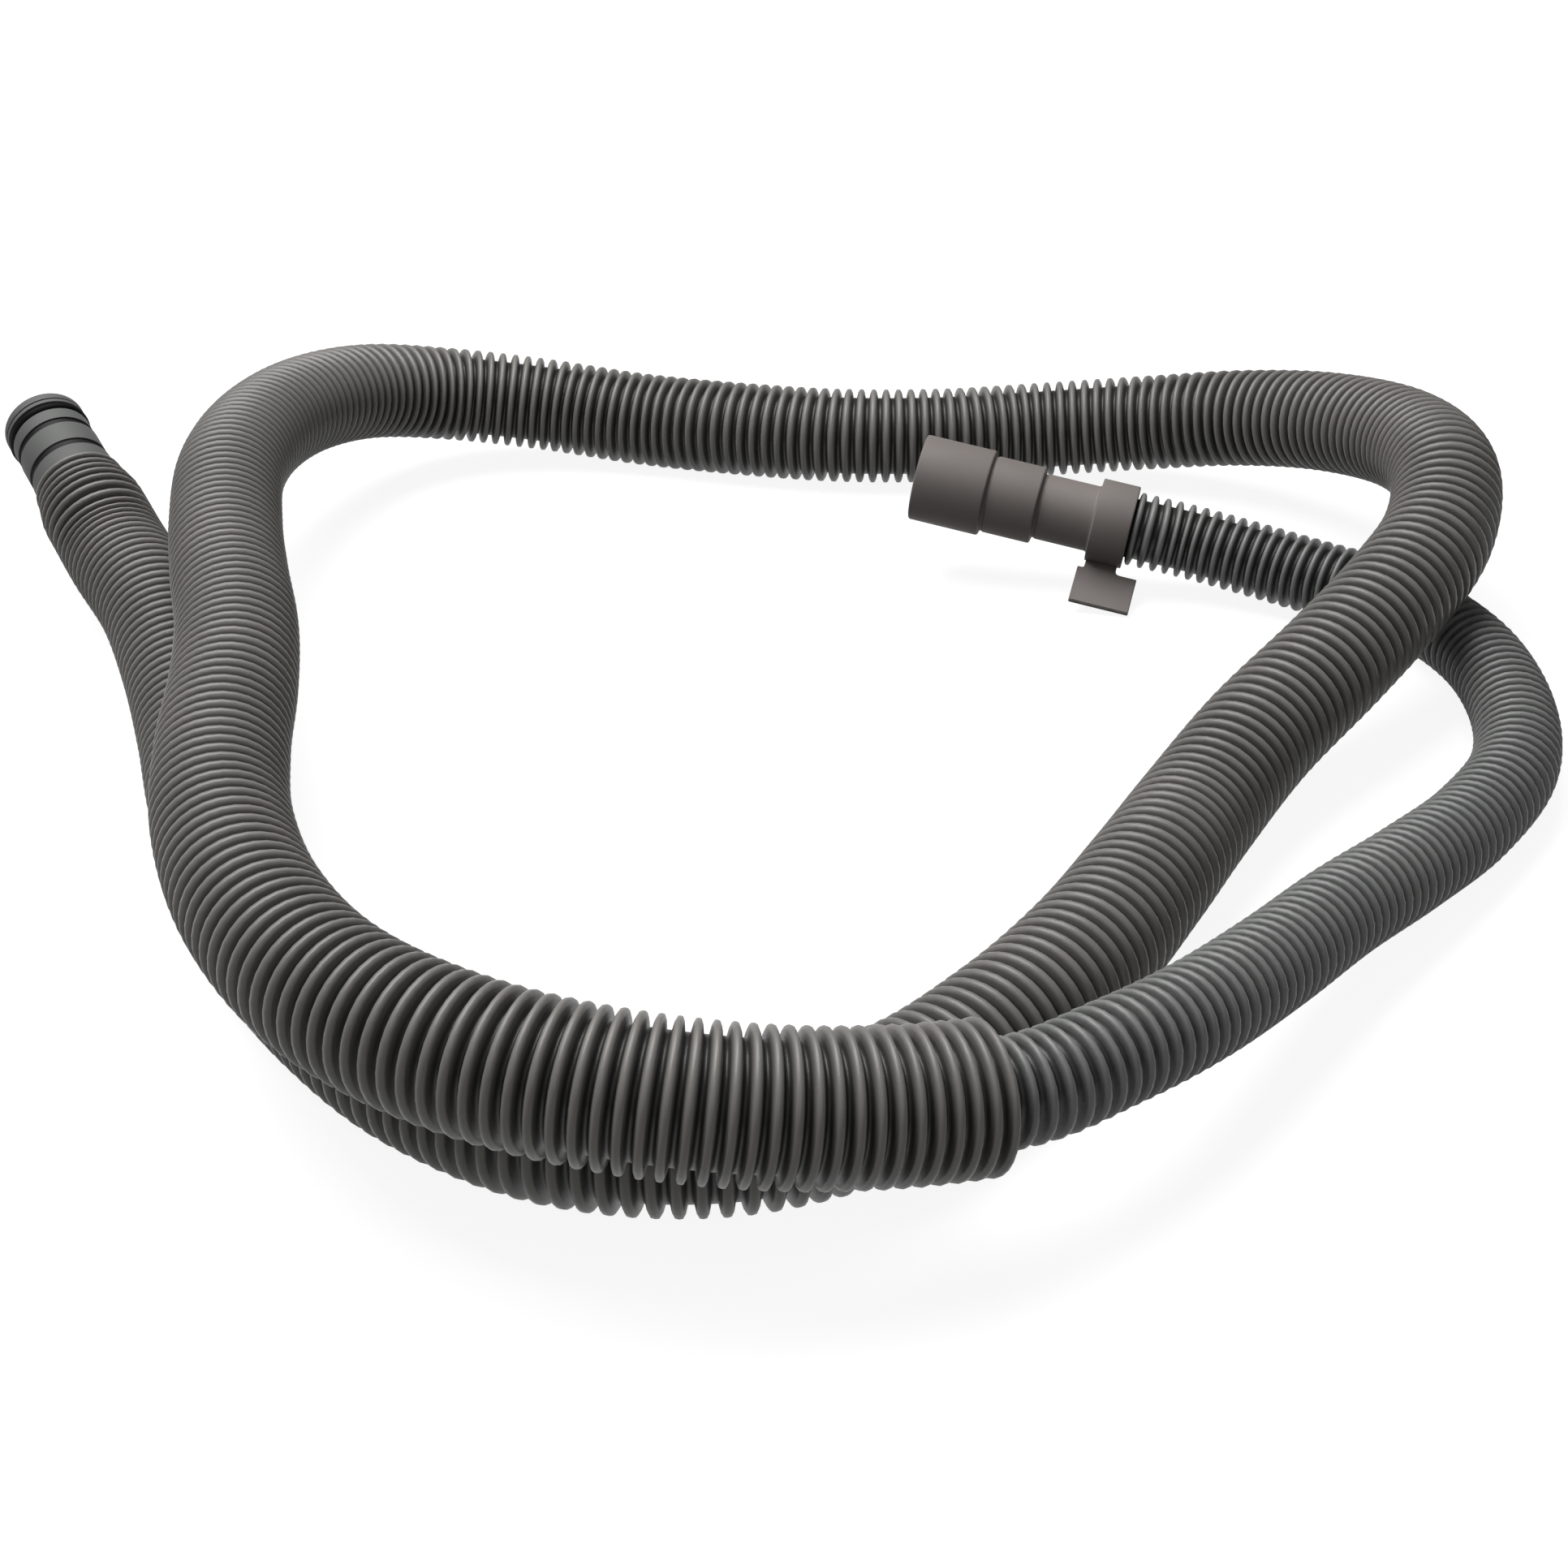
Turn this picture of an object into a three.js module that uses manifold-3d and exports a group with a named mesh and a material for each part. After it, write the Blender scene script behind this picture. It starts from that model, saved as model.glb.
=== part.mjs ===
// Dishwasher drain hose, laid down in a loose loop: a corrugated hose inside a wider corrugated
// sheath, a plug-in nozzle with an O-ring at one end and a stepped rubber cuff with a tag at the other.
// Millimetres, +Z up, standing on z = 0. The hoses are plain tubes of their outer size here.
import * as THREE from 'three';
import { mergeVertices } from 'three/addons/utils/BufferGeometryUtils.js';
import Module from 'manifold-3d';

const wasm = await Module();
wasm.setup();

// Hoses
const sheathRadius = 16;
const sheathBoreRadius = 13.6;
const sheathLength = 1707;
const hoseRadius = 11.5;
const hoseBoreRadius = 8.6;
const sectionSides = 12;
const stationStep = 27;
const endStep = 13;

// Clearance between pieces that seat on each other
const seatGap = 0.3;

// Nozzle that plugs into the machine, measured from its tip
const nozzleAzimuth = 136;
const nozzleElevation = 19;
const nozzleReach = 33;
const nozzleBoreRadius = 8.5;
const tipRadius = 10.4;
const leadInLength = 3.2;
const flangeRadius = 12.3;
const tipLineAt = 4.1;
const tipLineWidth = 0.5;
const tipLineDepth = 0.5;
const ringSeatAt = 5.4;
const ringSectionRadius = 1.35;
const ringSqueeze = 0.75;
const frontLandRadius = 12.4;
const middleGrooveAt = 13.2;
const middleLandRadius = 12.6;
const rearGrooveAt = 24.6;
const grooveWidth = 2.3;
const grooveDepth = 1.2;
const skirtRadius = 12.8;
const skirtLength = 8;
const hoseInNozzle = 4.5;

// Stepped rubber cuff, measured from its open mouth
const cuffTilt = 9.67;
const cuffEnd = new THREE.Vector3(102.5, 122.7, 20);
const wideSectionLength = 22.2;
const wideBoreRadius = 11.1;
const wideWall = 2.4;
const middleSectionLength = 16.4;
const middleBoreRadius = 9.5;
const middleWall = 2.6;
const neckLength = 18.2;
const neckBoreRadius = 8;
const neckWall = 2.3;
const collarLength = 11.6;
const collarWall = 1.2;
const stepChamfer = 0.6;
const mouthChamfer = 0.7;
const neckFillet = 1.2;
const hoseInCuff = 11;

// Tag moulded on the collar: a strap as wide as the collar that spreads into a bare plate
const tagThickness = 1.5;
const tagSlope = 25;
const tagRootAngle = -60;
const plateLength = 13.9;
const plateWidth = 18.8;
const plateOverhang = 1.4;
const strapLength = 3.4;
const strapInset = 0.5;
const strapOverlap = 1.6;

const roundSegments = 48;
const ringSegments = 16;

const degrees = THREE.MathUtils.degToRad;

// Where the ends lie
const sheathStart = new THREE.Vector3(-217.2, 51.8, 35.9);
const nozzleDirection = new THREE.Vector3(
  Math.cos(degrees(nozzleAzimuth)) * Math.cos(degrees(nozzleElevation)),
  Math.sin(degrees(nozzleAzimuth)) * Math.cos(degrees(nozzleElevation)),
  Math.sin(degrees(nozzleElevation))
);
const cuffDirection = new THREE.Vector3(Math.cos(degrees(cuffTilt)), 0, -Math.sin(degrees(cuffTilt)));

// The route of the hose's centre line, from the nozzle to the cuff
const nozzleLead = [hoseInNozzle, 0, -18, -36].map((along) =>
  sheathStart.clone().addScaledVector(nozzleDirection, along)
);
const firstPass = [
  [-170, 4, 21], [-148, -26, 18], [-128, -57, 16], [-110, -87, 16], [-90, -117, 16],
  [-68, -144, 16], [-42, -168, 16], [-13, -187, 16], [21, -197, 16], [56, -192, 16]
];
const overTheHose = [
  [85, -172, 16], [104, -142, 16], [118, -109, 16], [128, -75, 16], [137, -41, 16],
  [150, -6, 21], [168, 29, 28], [183, 60, 35], [193, 89, 41], [194, 121, 46]
];
const backRun = [
  [183, 155, 43], [160, 184, 36], [131, 203, 28], [98, 210, 21], [63, 207, 17],
  [29, 197, 16], [-5, 190, 16], [-40, 189, 16], [-76, 191, 16], [-112, 188, 20],
  [-143, 176, 26], [-162, 153, 34], [-170, 120, 41]
];
const secondPass = [
  [-169, 82, 46], [-160, 43, 49], [-145, 7, 49], [-129, -25, 49], [-113, -55, 49],
  [-100, -85, 49], [-88, -117, 49], [-73, -149, 49], [-51, -180, 49], [-24, -203, 48],
  [9, -216, 47], [45, -217, 44], [80, -207, 39], [112, -188, 34]
];
const bareRun = [
  [131, -167, 32], [146, -143, 28], [160, -114, 23], [174, -84, 19], [190, -54, 15],
  [205, -24, 12], [216, 7, 12], [216, 41, 12], [206, 75, 12], [185, 102, 12], [154, 116, 13]
];
const cuffLead = [22, 5, -hoseInCuff].map((along) =>
  cuffEnd.clone().addScaledVector(cuffDirection, along)
);
const laidPoints = [...firstPass, ...overTheHose, ...backRun, ...secondPass, ...bareRun];
const route = new THREE.CatmullRomCurve3(
  [...nozzleLead, ...laidPoints.map(([x, y, z]) => new THREE.Vector3(x, y, z)), ...cuffLead],
  false,
  'catmullrom'
);
route.arcLengthDivisions = 4000;

// A stretch of the route that is sectioned at given distances along it, so that the sheath and the
// hose inside it bend at the same places and keep their gap
class HoseRun extends THREE.Curve {
  constructor(distances) {
    super();
    this.distances = distances;
  }

  shareAt(u) {
    const place = u * (this.distances.length - 1);
    const index = Math.min(Math.floor(place), this.distances.length - 2);
    const distance = THREE.MathUtils.lerp(this.distances[index], this.distances[index + 1], place - index);
    return THREE.MathUtils.clamp(distance / route.getLength(), 0, 1);
  }

  getPointAt(u, target) {
    return route.getPointAt(this.shareAt(u), target);
  }

  getTangentAt(u, target) {
    return route.getTangentAt(this.shareAt(u), target);
  }
}

function evenly(from, to) {
  const count = Math.max(1, Math.round((to - from) / stationStep));
  return Array.from({ length: count }, (_, index) => from + ((to - from) * (index + 1)) / count);
}

function polygon(radius) {
  return Array.from({ length: sectionSides }, (_, index) => {
    const angle = (2 * Math.PI * index) / sectionSides;
    return new THREE.Vector2(radius * Math.cos(angle), radius * Math.sin(angle));
  });
}

function tube(outerRadius, boreRadius, distances) {
  const section = new THREE.Shape(polygon(outerRadius));
  section.holes.push(new THREE.Path(polygon(boreRadius)));
  return new THREE.ExtrudeGeometry(section, {
    steps: distances.length - 1,
    bevelEnabled: false,
    extrudePath: new HoseRun(distances)
  });
}

// A body turned about X from a closed outline of [distance along, radius] points, outer side first
function turned(outline, segments = roundSegments) {
  const points = [...outline, outline[0]].map(([along, radius]) => new THREE.Vector2(radius, along));
  return new THREE.LatheGeometry(points, segments).rotateZ(-Math.PI / 2);
}

function toSolid(geometry) {
  const bare = geometry.clone();
  bare.deleteAttribute('normal');
  bare.deleteAttribute('uv');
  const merged = mergeVertices(bare, 1e-4);
  return new wasm.Manifold(new wasm.Mesh({
    numProp: 3,
    vertProperties: new Float32Array(merged.attributes.position.array),
    triVerts: new Uint32Array(merged.index.array)
  }));
}

function toGeometry(solid) {
  const mesh = solid.getMesh();
  const geometry = new THREE.BufferGeometry();
  geometry.setAttribute('position', new THREE.BufferAttribute(mesh.vertProperties, 3));
  geometry.setIndex(new THREE.BufferAttribute(mesh.triVerts, 1));
  geometry.computeVertexNormals();
  return geometry;
}

function piece(name, geometry, color, roughness) {
  const mesh = new THREE.Mesh(geometry, new THREE.MeshStandardMaterial({ color, roughness, metalness: 0 }));
  mesh.name = name;
  return mesh;
}

// Outer sheath: from the nozzle's skirt to its open end beside the front of the loop
function outerSheath() {
  const start = hoseInNozzle;
  const distances = [start, start + endStep, ...evenly(start + endStep, start + sheathLength)];
  return piece('outer_sheath', tube(sheathRadius, sheathBoreRadius, distances), 0x706e6a, 0.5);
}

// Inner hose: one length from the nozzle's socket, through the sheath, to the cuff's socket
function innerHose() {
  const start = hoseInNozzle;
  const sheathEnd = start + sheathLength;
  const end = route.getLength();
  const distances = [
    0, start, start + endStep,
    ...evenly(start + endStep, sheathEnd),
    ...evenly(sheathEnd, end - endStep),
    end
  ];
  return piece('inner_hose', tube(hoseRadius, hoseBoreRadius, distances), 0x6c706e, 0.45);
}

// Nozzle: rounded lead-in, a fine line, the O-ring's seat, two grooves and the skirt under the sheath,
// bored through and opened behind as a socket for the inner hose
function groove(at, width, topBefore, topAfter, bottom) {
  return [[at - width / 2, topBefore], [at - width / 2, bottom], [at + width / 2, bottom], [at + width / 2, topAfter]];
}

function nozzleOutline() {
  const ringSeatRadius = frontLandRadius + ringSqueeze - 2 * ringSectionRadius - seatGap;
  const ringSeatWidth = 2 * ringSectionRadius + 2 * seatGap;
  const socketRadius = hoseRadius + seatGap;
  const socketBottom = nozzleReach - hoseInNozzle - seatGap;
  const leadIn = [];
  const leadInSteps = 6;
  for (let step = 0; step <= leadInSteps; step += 1) {
    const angle = (step / leadInSteps) * (Math.PI / 2);
    leadIn.push([
      leadInLength * (1 - Math.cos(angle)),
      tipRadius + (flangeRadius - tipRadius) * Math.sin(angle)
    ]);
  }
  return [
    [0, nozzleBoreRadius],
    ...leadIn,
    ...groove(tipLineAt, tipLineWidth, flangeRadius, flangeRadius, flangeRadius - tipLineDepth),
    ...groove(ringSeatAt + ringSectionRadius, ringSeatWidth, flangeRadius, frontLandRadius, ringSeatRadius),
    ...groove(middleGrooveAt + grooveWidth / 2, grooveWidth, frontLandRadius, middleLandRadius,
      frontLandRadius - grooveDepth),
    ...groove(rearGrooveAt + grooveWidth / 2, grooveWidth, middleLandRadius, skirtRadius,
      middleLandRadius - grooveDepth),
    [nozzleReach + skirtLength, skirtRadius],
    [nozzleReach + skirtLength, socketRadius],
    [socketBottom, socketRadius],
    [socketBottom, nozzleBoreRadius]
  ];
}

function nozzlePlace() {
  const place = new THREE.Group();
  place.position.copy(sheathStart).addScaledVector(nozzleDirection, nozzleReach);
  place.quaternion.setFromUnitVectors(new THREE.Vector3(1, 0, 0), nozzleDirection.clone().negate());
  return place;
}

function inletNozzle() {
  return piece('inlet_nozzle', turned(nozzleOutline()), 0x787977, 0.4);
}

// O-ring: a turned ring of round section that stands a little proud of the lands
function oRing() {
  const centreRadius = frontLandRadius + ringSqueeze - ringSectionRadius;
  const outline = Array.from({ length: ringSegments }, (_, index) => {
    const angle = (2 * Math.PI * index) / ringSegments;
    return [
      ringSeatAt + ringSectionRadius - ringSectionRadius * Math.cos(angle),
      centreRadius + ringSectionRadius * Math.sin(angle)
    ];
  });
  return piece('inlet_o_ring', turned(outline), 0x1c1c1d, 0.35);
}

// Cuff: three stepped sections that are cut back to suit the inlet, then the collar over the hose
function cuffOutline() {
  const wideEnd = wideSectionLength;
  const middleEnd = wideEnd + middleSectionLength;
  const neckEnd = middleEnd + neckLength;
  const collarEnd = neckEnd + collarLength;
  const wideRadius = wideBoreRadius + wideWall;
  const middleRadius = middleBoreRadius + middleWall;
  const neckRadius = neckBoreRadius + neckWall;
  const socketRadius = hoseRadius + seatGap;
  const collarRadius = socketRadius + collarWall;
  const socketBottom = collarEnd - hoseInCuff - seatGap;
  return [
    [0, wideBoreRadius + mouthChamfer],
    [0, wideRadius - stepChamfer],
    [stepChamfer, wideRadius],
    [wideEnd - stepChamfer, wideRadius - stepChamfer / 2],
    [wideEnd, wideRadius - 1.5 * stepChamfer],
    [wideEnd + stepChamfer, middleRadius],
    [middleEnd - stepChamfer, middleRadius],
    [middleEnd, middleRadius - stepChamfer],
    [middleEnd + 1.5 * stepChamfer, neckRadius],
    [neckEnd - neckFillet, neckRadius],
    [neckEnd - 0.3 * neckFillet, neckRadius + 0.3 * neckFillet],
    [neckEnd, neckRadius + neckFillet],
    [neckEnd, collarRadius - stepChamfer / 2],
    [neckEnd + stepChamfer / 2, collarRadius],
    [collarEnd - stepChamfer, collarRadius],
    [collarEnd, collarRadius - stepChamfer / 2],
    [collarEnd, socketRadius],
    [socketBottom, socketRadius],
    [socketBottom, neckBoreRadius],
    [middleEnd, neckBoreRadius],
    [middleEnd - (middleBoreRadius - neckBoreRadius), middleBoreRadius],
    [wideEnd, middleBoreRadius],
    [wideEnd - (wideBoreRadius - middleBoreRadius), wideBoreRadius],
    [mouthChamfer, wideBoreRadius]
  ];
}

// The tag's side view leaves the collar near its underside and slopes down and forward as a flat leaf
function tagSide(collarRadius, rootRadius, from, to) {
  const slope = degrees(tagSlope);
  const along = new THREE.Vector2(Math.cos(slope), -Math.sin(slope));
  const across = new THREE.Vector2(Math.sin(slope), Math.cos(slope)).multiplyScalar(tagThickness / 2);
  const root = new THREE.Vector2(Math.cos(degrees(tagRootAngle)), Math.sin(degrees(tagRootAngle)));
  const foot = root.clone().multiplyScalar(collarRadius);
  const near = from === 0 ? root.clone().multiplyScalar(rootRadius) : foot.clone().addScaledVector(along, from);
  const far = foot.clone().addScaledVector(along, to);
  return new THREE.Shape([
    near.clone().add(across), near.clone().sub(across), far.clone().sub(across), far.clone().add(across)
  ]);
}

// A leaf of the tag between two distances from the collar, and between two places along the cuff.
// The side view lies in the plane across the cuff: its first axis points forward, its second up.
function tagLeaf(side, low, high) {
  const leaf = new THREE.ExtrudeGeometry(side, { depth: high - low, bevelEnabled: false });
  const turn = new THREE.Matrix4().makeBasis(
    new THREE.Vector3(0, -1, 0), new THREE.Vector3(0, 0, 1), new THREE.Vector3(-1, 0, 0)
  );
  return toSolid(leaf.applyMatrix4(turn).translate(high, 0, 0));
}

function disposerCuff() {
  const collarRadius = hoseRadius + seatGap + collarWall;
  const rootRadius = collarRadius - collarWall / 2;
  const collarFrom = wideSectionLength + middleSectionLength + neckLength;
  const collarTo = collarFrom + collarLength;
  const strapFrom = collarFrom + stepChamfer;
  const strapTo = collarTo - strapInset - stepChamfer;
  const plateFrom = collarFrom - plateOverhang;
  const strap = tagLeaf(tagSide(collarRadius, rootRadius, 0, strapLength + strapOverlap), strapFrom, strapTo);
  const plate = tagLeaf(
    tagSide(collarRadius, rootRadius, strapLength, strapLength + plateLength), plateFrom, plateFrom + plateWidth
  );
  const solid = toSolid(turned(cuffOutline())).add(strap).add(plate);
  return piece('disposer_cuff', toGeometry(solid), 0x87807c, 0.55);
}

function cuffPlace() {
  const place = new THREE.Group();
  const length = wideSectionLength + middleSectionLength + neckLength + collarLength;
  place.position.copy(cuffEnd).addScaledVector(cuffDirection, -length);
  place.rotation.y = degrees(cuffTilt);
  return place;
}

const model = new THREE.Group();
const nozzleGroup = nozzlePlace();
nozzleGroup.add(inletNozzle(), oRing());
const cuffGroup = cuffPlace();
cuffGroup.add(disposerCuff());
model.add(outerSheath(), innerHose(), nozzleGroup, cuffGroup);

// The origin is under the middle of the whole hose, on the surface it lies on
const extent = new THREE.Box3().setFromObject(model, true);
const middle = extent.getCenter(new THREE.Vector3());
model.position.set(-middle.x, -middle.y, -extent.min.z);

const group = new THREE.Group();
group.add(model);
export default group;
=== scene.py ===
import math

import bmesh
import bpy
from mathutils import Matrix, Vector


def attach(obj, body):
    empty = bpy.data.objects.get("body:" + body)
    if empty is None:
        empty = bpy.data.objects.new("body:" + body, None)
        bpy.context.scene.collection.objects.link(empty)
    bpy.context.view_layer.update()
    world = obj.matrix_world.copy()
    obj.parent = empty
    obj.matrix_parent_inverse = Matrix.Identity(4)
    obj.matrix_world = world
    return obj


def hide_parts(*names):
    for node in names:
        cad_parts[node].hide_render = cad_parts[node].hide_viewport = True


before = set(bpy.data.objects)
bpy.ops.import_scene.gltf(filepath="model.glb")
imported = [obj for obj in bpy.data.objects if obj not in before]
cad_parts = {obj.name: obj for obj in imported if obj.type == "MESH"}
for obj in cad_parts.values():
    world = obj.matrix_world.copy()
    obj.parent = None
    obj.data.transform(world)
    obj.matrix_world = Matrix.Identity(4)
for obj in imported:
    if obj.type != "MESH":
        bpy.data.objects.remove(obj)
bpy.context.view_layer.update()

# Camera: at the photograph's viewing angle, a little above the loop and to the right of its middle.
# Its place was fitted to the hoses' outlines in the layout's own millimetres, which the shift brings to
# the part's origin, under the middle of the loop.
mm = 0.001
layout_shift = Vector((9.711, 3.949, 0.302))
camera_place = Vector((159.45, -562.24, 321.6))
camera_yaw = 13.909
camera_pitch = 30.01
camera_roll = -0.871
frame_width_px = 1932
focal_length_px = 2917
sensor_width = 36
camera_reach = 20

camera_data = bpy.data.cameras.new("camera")
camera_data.sensor_width = sensor_width
camera_data.lens = sensor_width * focal_length_px / frame_width_px
camera_data.clip_end = camera_reach
camera = bpy.data.objects.new("camera", camera_data)
camera.matrix_world = (
    Matrix.Translation((camera_place + layout_shift) * mm)
    @ Matrix.Rotation(math.radians(camera_yaw), 4, "Z")
    @ Matrix.Rotation(math.radians(90 - camera_pitch), 4, "X")
    @ Matrix.Rotation(math.radians(camera_roll), 4, "Z")
)
bpy.context.collection.objects.link(camera)
bpy.context.scene.camera = camera


# Route: the centre line along which the hose was laid down by hand, from the nozzle to the cuff.
# A smooth curve runs through given points, in millimetres, and each hose follows its own stretch of it.
sheath_start = Vector((-217.2, 51.8, 35.9))
nozzle_azimuth = math.radians(136)
nozzle_elevation = math.radians(19)
nozzle_direction = Vector((
    math.cos(nozzle_azimuth) * math.cos(nozzle_elevation),
    math.sin(nozzle_azimuth) * math.cos(nozzle_elevation),
    math.sin(nozzle_elevation),
))
hose_in_nozzle = 4.5
cuff_end = Vector((102.5, 122.7, 20))
cuff_tilt = math.radians(9.67)
cuff_direction = Vector((math.cos(cuff_tilt), 0, -math.sin(cuff_tilt)))
hose_in_cuff = 11
lead_step = 18
cuff_lead_reach = 22
cuff_lead_foot = 5
path_spacing = 1.5

nozzle_lead = [
    sheath_start + nozzle_direction * along for along in (hose_in_nozzle, 0, -lead_step, -2 * lead_step)
]
first_pass = [
    (-170, 4, 21), (-148, -26, 18), (-128, -57, 16), (-110, -87, 16), (-90, -117, 16),
    (-68, -144, 16), (-42, -168, 16), (-13, -187, 16), (21, -197, 16), (56, -192, 16),
]
over_the_hose = [
    (85, -172, 16), (104, -142, 16), (118, -109, 16), (128, -75, 16), (137, -41, 16),
    (150, -6, 21), (168, 29, 28), (183, 60, 35), (193, 89, 41), (194, 121, 46),
]
back_run = [
    (183, 155, 43), (160, 184, 36), (131, 203, 28), (98, 210, 21), (63, 207, 17),
    (29, 197, 16), (-5, 190, 16), (-40, 189, 16), (-76, 191, 16), (-112, 188, 20),
    (-143, 176, 26), (-162, 153, 34), (-170, 120, 41),
]
second_pass = [
    (-169, 82, 46), (-160, 43, 49), (-145, 7, 49), (-129, -25, 49), (-113, -55, 49),
    (-100, -85, 49), (-88, -117, 49), (-73, -149, 49), (-51, -180, 49), (-24, -203, 48),
    (9, -216, 47), (45, -217, 44), (80, -207, 39), (112, -188, 34),
]
bare_run = [
    (131, -167, 32), (146, -143, 28), (160, -114, 23), (174, -84, 19), (190, -54, 15),
    (205, -24, 12), (216, 7, 12), (216, 41, 12), (206, 75, 12), (185, 102, 12), (154, 116, 13),
]
cuff_lead = [
    cuff_end + cuff_direction * along for along in (cuff_lead_reach, cuff_lead_foot, -hose_in_cuff)
]


def smooth_line(points, steps=40):
    """Points close together on the Catmull-Rom curve through the given points."""
    points = [Vector(p) for p in points]
    ends = [2 * points[0] - points[1], *points, 2 * points[-1] - points[-2]]
    line = []
    for before, start, end, after in zip(ends, ends[1:], ends[2:], ends[3:]):
        leave = (end - before) / 2
        arrive = (after - start) / 2
        for step in range(steps):
            t = step / steps
            line.append(
                (2 * t**3 - 3 * t**2 + 1) * start + (t**3 - 2 * t**2 + t) * leave
                + (3 * t**2 - 2 * t**3) * end + (t**3 - t**2) * arrive
            )
    line.append(points[-1])
    return line


def stretch(line, start, end, spacing):
    """Evenly spaced points of the line, in metres, between two distances along it."""
    reach = [0.0]
    for a, b in zip(line, line[1:]):
        reach.append(reach[-1] + (b - a).length)
    count = round((end - start) / spacing)
    found = []
    index = 0
    for step in range(count + 1):
        distance = min(start + (end - start) * step / count, reach[-1])
        while index < len(line) - 2 and reach[index + 1] < distance:
            index += 1
        share = (distance - reach[index]) / (reach[index + 1] - reach[index])
        found.append((line[index].lerp(line[index + 1], share) + layout_shift) * mm)
    return found


route = smooth_line(nozzle_lead + first_pass + over_the_hose + back_run + second_pass + bare_run + cuff_lead)
route_length = sum((b - a).length for a, b in zip(route, route[1:]))


# Outer sheath: a blow-moulded corrugated tube of grey polypropylene, slid over the drain hose.
# It starts tight on the nozzle's skirt, widens over a few rings and is cut off just behind a ring.
# Its rings are pushed closer together towards both ends.
sheath_length = 1707
sheath_crest = 16
sheath_root = 13
sheath_bore = 12.1
sheath_rings = 402
sheath_ring_share = 0.71
sheath_sides = 33
sheath_start_share = 0.875
sheath_taper = 14
sheath_start_squeeze = 0.24
sheath_squeezed_to = 0.045
sheath_end_squeeze = 0.18
sheath_squeezed_from = 0.84
sheath_bore_rows = 150

# One ring's rows: how far along the ring each stands, and how far it rises from the root to the crest.
ring_phases = [0.0, 0.13, 0.29, 0.5, 0.71, 0.87, 1.0]
ring_heights = [0.01, 0.65, 0.955, 1.0, 0.955, 0.65, 0.01]

weld_distance = 1e-6


class Maths:
    """Shorthand for the number nodes of one geometry node tree."""

    def __init__(self, tree):
        self.tree = tree

    def put(self, socket, value):
        if isinstance(value, bpy.types.NodeSocket):
            self.tree.links.new(value, socket)
        else:
            socket.default_value = value

    def math(self, operation, a, b=0.0, c=0.0):
        node = self.tree.nodes.new("ShaderNodeMath")
        node.operation = operation
        for socket, value in zip(node.inputs, (a, b, c)):
            self.put(socket, value)
        return node.outputs[0]

    def vector(self, operation, a, b=None, scale=None):
        node = self.tree.nodes.new("ShaderNodeVectorMath")
        node.operation = operation
        self.put(node.inputs[0], a)
        if b is not None:
            self.put(node.inputs[1], b)
        if scale is not None:
            self.put(node.inputs["Scale"], scale)
        return node.outputs[0]

    def pick(self, index, values):
        node = self.tree.nodes.new("GeometryNodeIndexSwitch")
        node.data_type = "FLOAT"
        while len(node.index_switch_items) < len(values):
            node.index_switch_items.new()
        self.put(node.inputs[0], index)
        for socket, value in zip(node.inputs[1:], values):
            self.put(socket, value)
        return node.outputs[0]

    def choose(self, test, when_false, when_true):
        node = self.tree.nodes.new("GeometryNodeSwitch")
        node.input_type = "FLOAT"
        self.put(node.inputs[0], test)
        self.put(node.inputs[1], when_false)
        self.put(node.inputs[2], when_true)
        return node.outputs[0]


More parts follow.
